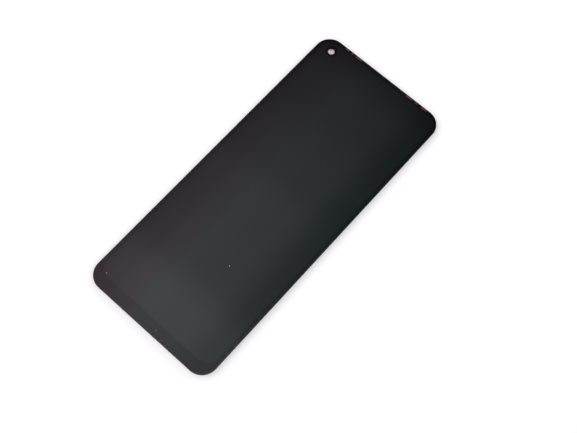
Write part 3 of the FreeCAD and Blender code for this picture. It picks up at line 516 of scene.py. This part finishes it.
def rolled_steel(name, pale, dark, along):
    """Rolled sheet: fine lines along the strip, and a slow cloud of roughness from handling."""
    steel = Finish(name, metallic=1.0)
    lines = steel.noise(0.09, 3.0, along)
    cloud = steel.noise(9.0, 3.0)
    steel.feed("Base Color", steel.mix(lines * 0.6 + cloud * 0.4, dark, pale))
    steel.feed("Roughness", lines * 0.12 + cloud * 0.10 + 0.16)
    return steel.bump(lines, 0.0015)


def gold():
    """Plated contacts with a little wear."""
    plated = Finish("gold_plating", metallic=1.0)
    wear = plated.noise(0.25, 3.0)
    plated.feed("Base Color", plated.mix(wear, (0.86, 0.60, 0.24), (0.95, 0.72, 0.36)))
    plated.feed("Roughness", wear * 0.14 + 0.16)
    return plated


def solder():
    """Tin that froze in small grains."""
    tin = Finish("bright_solder", metallic=1.0)
    grain = tin.noise(0.2, 4.0)
    tin.feed("Base Color", tin.mix(grain, (0.55, 0.55, 0.56), (0.78, 0.78, 0.77)))
    tin.feed("Roughness", grain * 0.2 + 0.2)
    return tin.bump(grain, 0.02)


# %% [markdown]
# ## Clear and milky layers
# The cell's glass, the prism films and the light guide are clear, and take their colour as light passes
# them. The diffuser scatters light at its skin and the reflector is a mirror, so neither needs any depth.
# %% Clear and milky layers
def clear_sheet(name, colour, rough=0.0):
    """A clear sheet that bends light as glass does."""
    return Finish(name, transmission_weight=1.0, ior=GLASS_IOR, roughness=rough, base_color=colour)


def milky_film():
    """White film with a very fine relief."""
    film = Finish("diffuser_film", roughness=0.6, base_color=(0.82, 0.83, 0.83))
    return film.bump(film.noise(0.08), 0.004)


def mirror_film():
    """Silvered film, a little uneven."""
    film = Finish("reflector_film", roughness=0.12, metallic=1.0)
    film.feed("Base Color", film.mix(film.noise(4.0), (0.84, 0.85, 0.86), (0.9, 0.9, 0.91)))
    return film


# %% [markdown]
# ## The flex
# Etched copper lies between two amber films, and shows through them as a paler pattern. The pattern is
# worked out from places on the flex, so it needs no picture: bands of tracks are waves, the ground plane is
# a field cut by two crossing waves, and bare pads are discs at a pitch. Each zone is placed from the boxes
# of the stiffeners and of the connector.
# %% Zones of the flex
board_low, board_high = box_mm("board_stiffener")
head_low, head_high = box_mm("connector_stiffener")
plug_low, plug_high = box_mm("connector_housing")
TAIL_X, TAIL_Y = (plug_low[0] + 0.2, plug_high[0] - 0.2), (board_high[1] - 1.2, head_low[1] - 1.1)
FOLD_X, FOLD_Y = (board_low[0], board_high[0] - 3.6), (board_low[1] - 0.8, board_low[1] + 1.1)
GROUND_X, GROUND_Y = (board_low[0] - 0.5, board_high[0] + 0.5), (board_low[1] + 1.5, board_high[1] - 1.5)
TAIL_PITCH, FOLD_PITCH, DIAMOND_PITCH = 0.62, 0.56, 0.9
# Rows of bare pads: the centre of one pad, the pitch, the radius, and both ends of the row
BOARD_PADS = ((board_low[0] + 1.2, board_high[1] - 0.3), 1.7, 0.38,
              (board_low[0] + 0.4, board_low[0] + 11.8))
HEAD_PADS = (((plug_low[0] + plug_high[0]) / 2, head_high[1] - 0.5), 2.2, 0.32,
             (head_low[0] + 0.95, head_high[0] - 0.95))
print("tail tracks from", np.round(TAIL_X, 2), np.round(TAIL_Y, 2))


# %% Circuit materials
def pad_row(x, y, centre, pitch, radius, ends):
    """Round bare pads at a pitch from a centre, in one row that stops at both ends."""
    distance = (x.spaced(pitch, centre[0]) ** 2 + (y - centre[1]) ** 2).root()
    return (1 - distance.rise(radius - 0.02, radius + 0.02)) * x.between(*ends, 0.01)


def flex_film():
    """Amber film over copper. Tracks run up the tail and along the fold, a ground plane with etched
    diamonds fills the board between them, and a few gold pads lie bare for testing."""
    flex = Finish("amber_flex", specular_ior_level=0.5)
    x, y, _ = flex.places()
    cloud = flex.noise(6.0, 3.0)
    tail = x.wave(TAIL_PITCH).rise(0.35, 0.5) * y.between(*TAIL_Y, 0.05) * x.between(*TAIL_X, 0.05)
    fold = y.wave(FOLD_PITCH).rise(0.35, 0.5) * y.between(*FOLD_Y, 0.03) * x.between(*FOLD_X, 0.05)
    diamonds = (x + y).wave(DIAMOND_PITCH).rise(0.62, 0.74) * (x - y).wave(DIAMOND_PITCH).rise(0.62, 0.74)
    ground = y.between(*GROUND_Y, 0.04) * x.between(*GROUND_X, 0.04) * (1 - diamonds * 0.8)
    copper = tail.most(fold).most(ground)
    film = flex.mix(cloud, (0.16, 0.064, 0.013), (0.21, 0.088, 0.020))
    over_copper = flex.mix(cloud, (0.36, 0.155, 0.036), (0.45, 0.215, 0.058))
    bare = pad_row(x, y, *BOARD_PADS).most(pad_row(x, y, *HEAD_PADS))
    coated = flex.mix(copper, film, over_copper)
    flex.feed("Base Color", flex.mix(bare, coated, (0.90, 0.66, 0.30)))
    flex.feed("Metallic", bare)
    flex.feed("Roughness", cloud * 0.15 + 0.3 - bare * 0.12)
    return flex.bump(copper - bare * 0.5, 0.018)


def white_flex():
    """The diode strip's white coat, slightly uneven."""
    flex = Finish("white_coated_flex", roughness=0.45)
    flex.feed("Base Color", flex.mix(flex.noise(1.5), (0.66, 0.65, 0.60), (0.74, 0.73, 0.69)))
    return flex


def plain(name, dark, pale, size, rough, depth=0.0, metal=0.0):
    """A finish with a fine grain: two close colours, uneven roughness and a slight relief."""
    made = Finish(name, metallic=metal)
    grain = made.noise(size, 4.0)
    made.feed("Base Color", made.mix(grain, dark, pale))
    made.feed("Roughness", grain * 0.2 + (rough - 0.1))
    return made.bump(grain, depth) if depth else made


# %% [markdown]
# ## Every slot gets its finish
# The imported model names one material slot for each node. A table ties the slots to finishes, and the loop
# below it gives each node's mesh its finish. The cover glass and its adhesive have theirs from above.
# %% Table of finishes
FINISHES = {
    "black_ink": black_print(),
    "polariser": polariser(),
    "black_tape": black_tape(),
    "frame_plastic": black_moulding(),
    "black_foam": black_foam(),
    "cell_glass": clear_sheet("cell_glass_clear", (0.93, 0.85, 0.88)),
    "liquid_crystal": Finish("liquid_crystal_film", alpha=0.03, roughness=0.6, specular_ior_level=0.0,
                             base_color=(0.03, 0.03, 0.03)),
    "cell_seal": plain("cell_seal_resin", (0.30, 0.27, 0.21), (0.42, 0.38, 0.30), 0.5, 0.4),
    "plate_steel": rolled_steel("back_plate_steel", (0.53, 0.53, 0.545), (0.38, 0.38, 0.392), ALONG_Y),
    "stiffener": rolled_steel("stiffener_steel", (0.50, 0.50, 0.50), (0.36, 0.36, 0.37), ALONG_X),
    "gold_contact": gold(),
    "solder": solder(),
    "diffuser": milky_film(),
    "reflector": mirror_film(),
    "clear_film": clear_sheet("prism_film", (0.9, 0.92, 0.93), rough=0.25),
    "light_guide": clear_sheet("light_guide_sheet", (0.92, 0.94, 0.95)),
    "flex_film": flex_film(),
    "white_flex": white_flex(),
    "flex_adhesive": plain("flex_adhesive_black", (0.02, 0.02, 0.02), (0.04, 0.04, 0.04), 0.4, 0.7, 0.01),
    "sealant": plain("ledge_sealant", (0.10, 0.075, 0.05), (0.17, 0.13, 0.09), 0.6, 0.3, 0.02),
    "bare_silicon": plain("bare_silicon", (0.10, 0.10, 0.12), (0.16, 0.16, 0.18), 2.0, 0.15, metal=0.6),
    "led_case": plain("led_case", (0.78, 0.77, 0.70), (0.86, 0.85, 0.78), 0.4, 0.4),
    "connector_plastic": plain("connector_moulding", (0.035, 0.034, 0.032), (0.055, 0.053, 0.05),
                               0.15, 0.5, 0.004),
    "capacitor": plain("capacitor_ceramic", (0.34, 0.25, 0.18), (0.46, 0.36, 0.27), 0.2, 0.4),
    "chip_package": plain("chip_moulding", (0.022, 0.022, 0.024), (0.034, 0.034, 0.036), 0.1, 0.55, 0.004),
}
for part in frame["record"]["subparts"]:
    if part["material_slot"] in FINISHES:
        node = nodes[part["node"]]
        node.data.materials.clear()
        node.data.materials.append(FINISHES[part["material_slot"]].material)

# %% [markdown]
# ## Small components on the flex
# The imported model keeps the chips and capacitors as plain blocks. Up close a moulded package has rounded
# rims, a chip capacitor has metal ends, and every one stands on soldered pads. All of them hang from the
# rear face of the flex, so their free faces look down. One function makes a block with a rounded lower rim,
# and every component is built from such blocks.
# %% Rounded blocks
FLEX_FACE = box_mm("bias_chip")[1][2]
PAD_THICK = 0.03
LEAST_CORNER = 0.01


def brick(low, high, corner, round_by):
    """A block whose lower rim is rounded over: inset = r(1 - cos t) and height = low + r(1 - sin t)."""
    turn_by = np.linspace(0, math.pi / 2, 5)
    insets = np.concatenate([[0.0], round_by * (1 - np.cos(turn_by))])
    heights = np.concatenate([[high[2]], low[2] + round_by * (1 - np.sin(turn_by))])
    rows = []
    for inset, height in zip(insets, heights):
        left_front, right_back = np.array(low[:2]) + inset, np.array(high[:2]) - inset
        rows.append(at_height(rounded(left_front, right_back, max(corner - inset, LEAST_CORNER)), height))
    return closed_mesh("brick", np.stack(rows))


def brick_at(x, y, half_x, half_y, low, high, corner, round_by):
    """A brick about a centre, between two heights."""
    return brick((x - half_x, y - half_y, low), (x + half_x, y + half_y, high), corner, round_by)


# %% Soldered pads
def pad_at(x, y, half_x, half_y):
    """A soldered pad on the rear face of the flex."""
    corner, round_by = min(half_x, half_y) * 0.4, PAD_THICK * 0.8
    return brick_at(x, y, half_x, half_y, FLEX_FACE - PAD_THICK, FLEX_FACE, corner, round_by)


def pads_beside(node, count, reach, along_y):
    """Rows of pads along two opposite sides of a package, half under it."""
    low, high = box_mm(node)
    axis = 1 if along_y else 0
    places = np.linspace(low[axis], high[axis], count + 2)[1:-1]
    half = (high[axis] - low[axis]) / (count + 1) * 0.29
    found = []
    for side in (low[1 - axis], high[1 - axis]):
        found += [pad_at(side, place, reach, half) if along_y else pad_at(place, side, half, reach)
                  for place in places]
    return found


# %% Capacitors
CAP_HALF_X, CAP_HALF_Y = 0.25, 0.5
CERAMIC_HALF_X, CERAMIC_HALF_Y = 0.235, 0.34
END_SKIN, END_HALF = 0.02, 0.13
PAD_HALF_X, PAD_HALF_Y, PAD_REACH = 0.30, 0.27, 0.48


def capacitor_places():
    """Centres of the capacitors, two rows of six read back from the ends of the node's box, and the height
    of their free faces."""
    low, high = box_mm("capacitors")
    across = np.linspace(low[0] + CAP_HALF_X, high[0] - CAP_HALF_X, 6)
    return [(x, y) for y in (low[1] + CAP_HALF_Y, high[1] - CAP_HALF_Y) for x in across], low[2]


def both_ways(places, offset):
    """Each place moved back and forth along Y."""
    return [(x, y + side) for x, y in places for side in (-offset, offset)]


places, cap_low = capacitor_places()
ceramic_low, ceramic_high = cap_low + END_SKIN, FLEX_FACE - PAD_THICK
ceramics = [brick_at(x, y, CERAMIC_HALF_X, CERAMIC_HALF_Y, ceramic_low, ceramic_high, 0.03, 0.04)
            for x, y in places]
ends = [brick_at(x, y, CAP_HALF_X, END_HALF, cap_low, FLEX_FACE - END_SKIN, 0.06, 0.06)
        for x, y in both_ways(places, CAP_HALF_Y - END_HALF)]
pads = [pad_at(x, y, PAD_HALF_X, PAD_HALF_Y) for x, y in both_ways(places, PAD_REACH)]
pads += pads_beside("bias_chip", 5, 0.16, True) + pads_beside("bias_chip", 5, 0.16, False)
pads += pads_beside("memory_chip", 4, 0.18, False) + pads_beside("inductor", 1, 0.24, True)
add_piece("capacitor_ceramics", ceramics, FINISHES["capacitor"], ["capacitors"])
add_piece("capacitor_ends", ends, FINISHES["solder"])
add_piece("soldered_pads", pads, FINISHES["solder"])


# %% Moulded packages
MARK_INSET, MARK_RADIUS, MARK_SOFT = 0.34, 0.145, 0.015
STAND_OFF = 0.02


def package_finish(name, node, dark, pale):
    """Moulded package with fine grain and a smooth round mark in one corner of its free face."""
    low, high = box_mm(node)
    made = Finish(name, specular_ior_level=0.4)
    x, y, _ = made.places()
    from_mark = ((x - low[0] - MARK_INSET) ** 2 + (y - high[1] + MARK_INSET) ** 2).root()
    mark = 1 - from_mark.rise(MARK_RADIUS - MARK_SOFT, MARK_RADIUS + MARK_SOFT)
    grain = made.noise(0.1, 4.0)
    made.feed("Base Color", made.mix(mark, made.mix(grain, dark, pale), pale))
    made.feed("Roughness", grain * 0.2 + 0.5 - mark * 0.3)
    return made.bump(grain * 0.25 - mark, 0.02)


def body_of(node):
    """Corners of a node's box, with its top a little off the flex."""
    low, high = box_mm(node)
    return low, high - (0, 0, STAND_OFF)


for node, radius in (("bias_chip", 0.05), ("memory_chip", 0.04)):
    finish = package_finish(node + "_moulding", node, (0.020, 0.020, 0.022), (0.034, 0.034, 0.036))
    add_piece(node + "_body", [brick(*body_of(node), 0.05, radius)], finish, [node])

# %% Inductor
coil_low, coil_high = body_of("inductor")
end_length = (coil_high[0] - coil_low[0]) * 0.2
core_start = end_length * 0.9
core = [brick(coil_low + (core_start, 0.04, 0.02), coil_high - (core_start, 0.04, 0), 0.12, 0.08)]
caps = [brick(coil_low, (coil_low[0] + end_length, coil_high[1], coil_high[2]), 0.1, 0.08),
        brick((coil_high[0] - end_length, coil_low[1], coil_low[2]), coil_high, 0.1, 0.08)]
ferrite = plain("ferrite_core", (0.045, 0.043, 0.042), (0.075, 0.072, 0.07), 0.15, 0.5, 0.006)
add_piece("inductor_core", core, ferrite, ["inductor"])
add_piece("inductor_ends", caps, FINISHES["solder"])

# %% [markdown]
# ## Solder on the diode tab
# Three joints hold the tab of the diode strip to the main flex. Molten solder pulls itself into a low dome,
# with a small dip in the middle where it has run down the hole. Each joint is a profile turned about its
# own axis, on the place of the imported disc.
# %% Solder joints
def solder_dome(x, y, radius, height, face):
    """A dome under a face: distance from the axis R cos t, and height h sin t (1 - 0.35 sin^8 t)."""
    lift = np.linspace(0, math.pi / 2 - 0.05, 12)
    around = np.linspace(0, 2 * math.pi, 28, endpoint=False)
    ring = np.stack([np.cos(around), np.sin(around)], axis=-1)
    drops = height * np.sin(lift) * (1 - 0.35 * np.sin(lift) ** 8)
    reaches = radius * np.cos(lift)
    rows = [at_height((x, y) + reach * ring, face - drop) for reach, drop in zip(reaches, drops)]
    return closed_mesh("dome", np.stack(rows))


tab_low, tab_high = box_mm("solder_joints")
dome_radius = (tab_high[1] - tab_low[1]) / 2
domes = [solder_dome(x, tab_low[1] + dome_radius, dome_radius, tab_high[2] - tab_low[2], tab_high[2])
         for x in np.linspace(tab_low[0] + dome_radius, tab_high[0] - dome_radius, 3)]
add_piece("tab_solder_domes", domes, FINISHES["solder"], ["solder_joints"], smooth=50)

# %% [markdown]
# ## Painted shade in the slits
# Six short slits along the camera end are clear, and look dim and reddish in the photograph, because the
# ground under them is seen in the shadow of the module. Each slit is filled with a flat reddish plate, level
# with the border: painted shade that stands in for that shadowed view. Their places are the same numbers as
# in the part's own source.
# %% Slit shade
SLIT_FILL = 0.014


def slit_fill(first, last):
    """A thin plate that fills one slit."""
    x0, x1 = first + AIR_GAP, last - AIR_GAP
    y0, y1 = slit_y - SLIT_WIDTH / 2 + AIR_GAP, slit_y + SLIT_WIDTH / 2 - AIR_GAP
    corners = np.array([(x0, y0), (x1, y0), (x1, y1), (x0, y1)])
    top = adhesive_high - HAIR_GAP
    return closed_mesh("slit", np.stack([at_height(corners, top - SLIT_FILL), at_height(corners, top)]))


slit_shade = Finish("painted_slit_shade", roughness=0.5, specular_ior_level=0.1)
# The reddish colour is painted shade: the shadowed ground under a clear slit.
slit_shade.feed("Base Color", slit_shade.mix(slit_shade.noise(0.5), (0.42, 0.080, 0.095), (0.64, 0.160, 0.175)))
add_piece("slit_shade", [slit_fill(*slit) for slit in SLITS], slit_shade)

# %% [markdown]
# ## Dust
# Three grains of dust lie on the glass in the photograph: two pale ones, and a dimmer, pinkish one on the
# chin. They are small uneven lumps here, because a painted dot on clear glass would have no body.
# %% Dust grains
DUST = [(42.75, 113.6, 0.28, 0.4), (6.04, 150.6, 0.25, 1.9), (38.9, 154.5, 0.19, 3.1)]
CHIN_LINE = PICTURE_CHIN - GLASS_LENGTH / 2


def grain(left, top, size, turned):
    """A flattened lump, placed from the glass's left edge and camera end. Over longitude a and latitude b
    its radius is size (1 + 0.25 sin(3a + turned) cos(2b)), and it is squashed across and in height."""
    x, y = left - GLASS_WIDTH / 2, GLASS_LENGTH / 2 - top
    along = np.linspace(0, 2 * math.pi, 14, endpoint=False)[None, :]
    lift = np.linspace(-1.45, 1.45, 8)[:, None]
    radius = size * (1 + 0.25 * np.sin(3 * along + turned) * np.cos(2 * lift))
    points = np.stack([
        x + radius * np.cos(lift) * np.cos(along),
        y + 0.7 * radius * np.cos(lift) * np.sin(along),
        glass_high[2] + size * 0.4 + 0.4 * radius * np.sin(lift) * np.ones_like(along),
    ], axis=-1)
    return closed_mesh("grain", points * MM)


dust = Finish("dust_grain", roughness=0.9)
fluff = dust.noise(0.2, 4.0)
on_chin = 1 - dust.places()[1].rise(CHIN_LINE - 0.5, CHIN_LINE + 0.5)
dust.feed("Base Color", dust.mix(on_chin, dust.mix(fluff, (0.36, 0.40, 0.40), (0.56, 0.58, 0.57)),
                                 dust.mix(fluff, (0.30, 0.16, 0.17), (0.44, 0.26, 0.27))))
add_piece("dust_grains", [grain(*lump) for lump in DUST], dust)

# %% [markdown]
# ## Light
# Black glass shows only the few percent that it mirrors, so the soft patches on the screen are the room
# above it: bright over the chin, fading in steps towards the camera end and at both sides. A flat mirror
# shows the sky at dx/dz and dy/dz of the mirrored direction, so the sky is written in those two numbers,
# like a ceiling. Far from that patch it is even and bright, and low down it is dim, which keeps black glass
# black from the side. The camera itself sees plain white behind the floor.
# %% World
class Sky(Finish):
    """The world's node tree, with the same methods for nodes."""

    def __init__(self, world):
        world.use_nodes = True
        self.tree = world.node_tree

    def ramp(self, value, start, end, stops):
        """Colours over the range from start to end, eased between stops given in the same numbers."""
        share = self.node("ShaderNodeMapRange", None, {"Value": value, "From Min": start, "From Max": end})
        placed = [((place - start) / (end - start), colour) for place, colour in stops]
        return self.node("ShaderNodeValToRGB", {"stops": placed}, {"Fac": share})

    def times(self, first, second):
        """The product of two colours."""
        return self.node("ShaderNodeVectorMath", {"operation": "MULTIPLY"}, {0: first, 1: second})


def grey(level):
    """A colour without hue."""
    return level, level, level


SKY_LEVEL = 1.75
world = bpy.data.worlds.new("soft_room")
bpy.context.scene.world = world
sky = Sky(world)
towards = sky.node("ShaderNodeTexCoord", out="Generated")
east, north, up = [sky.node("ShaderNodeSeparateXYZ", None, {0: towards}, axis) for axis in "XYZ"]
steep = up.most(0.02)
u, v = east / steep, north / steep
print("sky level", SKY_LEVEL)

# %% Room above the screen
along_screen = sky.ramp(v, -1.2, 1.4, [
    (-0.9, grey(SKY_LEVEL)), (-0.25, grey(1.6)), (0.05, (1.14, 1.02, 1.12)), (0.13, (1.09, 1.19, 1.24)),
    (0.18, (0.76, 0.83, 0.87)), (0.27, (0.67, 0.74, 0.79)), (0.32, (0.50, 0.57, 0.60)),
    (0.42, (0.33, 0.38, 0.40)), (0.49, (0.12, 0.11, 0.13)), (0.62, (0.12, 0.11, 0.13)),
    (1.2, grey(SKY_LEVEL)),
])
left_side = sky.ramp(u, -1.2, 0.0, [
    (-1.0, grey(1.3)), (-0.55, grey(1.0)), (-0.345, (0.74, 0.55, 0.60)),
    (-0.320, (0.87, 0.70, 0.75)), (-0.300, (0.99, 0.85, 0.88)), (-0.275, grey(1.0)),
])
right_side = sky.ramp(u, -1.2, 1.0, [
    (-0.275, (1.03, 1.0, 1.0)), (-0.23, (0.90, 0.93, 0.92)), (-0.185, (0.42, 0.48, 0.47)),
    (0.1, grey(0.65)), (0.5, grey(1.6)),
])
# The right side is dim from the camera end to mid screen, and this fades out from there to beyond the chin
fade = v.rise(0.30, 0.02) * 0.6 + v.rise(0.05, -0.3) * 0.4
across_screen = sky.times(left_side, sky.mix(fade, right_side, grey(1.0)))
by_height = sky.ramp(up, 0.0, 1.0, [
    (0.05, (0.12, 0.12, 0.125)), (0.30, (0.16, 0.16, 0.165)), (0.52, (0.30, 0.30, 0.305)),
    (0.74, grey(1.25)), (0.86, grey(1.0)),
])
room_colour = sky.times(sky.times(along_screen, across_screen), by_height)
room = sky.node("ShaderNodeBackground", None, {"Color": room_colour, "Strength": 1.0})
white = sky.node("ShaderNodeBackground", None, {"Color": grey(1.0), "Strength": 1.0})
seen = sky.node("ShaderNodeLightPath", out="Is Camera Ray")
surface = sky.node("ShaderNodeMixShader", None, {0: seen, 1: room, 2: white})
sky.tree.links.new(surface.socket, sky.tree.nodes["World Output"].inputs["Surface"])

# %% [markdown]
# ## The floor
# A wide pale sheet. It adds a little light of its own for the camera and for what glass and metal show, so
# that it reads as white, while the shadow that the module throws stays visible.
# %% Floor
FLOOR_HALF = 6.0
FLOOR_GLOW = {"Is Camera Ray": 0.26, "Is Glossy Ray": 0.26, "Is Transmission Ray": 0.6}
floor_mesh = bpy.data.meshes.new("floor")
floor_mesh.from_pydata([(-FLOOR_HALF, -FLOOR_HALF, 0), (FLOOR_HALF, -FLOOR_HALF, 0),
                        (FLOOR_HALF, FLOOR_HALF, 0), (-FLOOR_HALF, FLOOR_HALF, 0)], [], [(0, 1, 2, 3)])
floor = bpy.data.objects.new("floor", floor_mesh)
bpy.context.scene.collection.objects.link(floor)
pale = Finish("pale_floor", roughness=0.9, specular_ior_level=0.1, base_color=grey(0.84))
glow = sum(pale.node("ShaderNodeLightPath", out=ray) * share for ray, share in FLOOR_GLOW.items())
pale.feed("Emission Color", pale.mix(glow, grey(0.0), grey(1.0)))
pale.feed("Emission Strength", 1.0)
floor_mesh.materials.append(pale.material)
print("floor", 2 * FLOOR_HALF, "m wide")

# %% [markdown]
# ## The view transform
# The view transform is Standard, so a colour renders about as it is written.
# %% Finish
bpy.context.scene.view_settings.view_transform = "Standard"
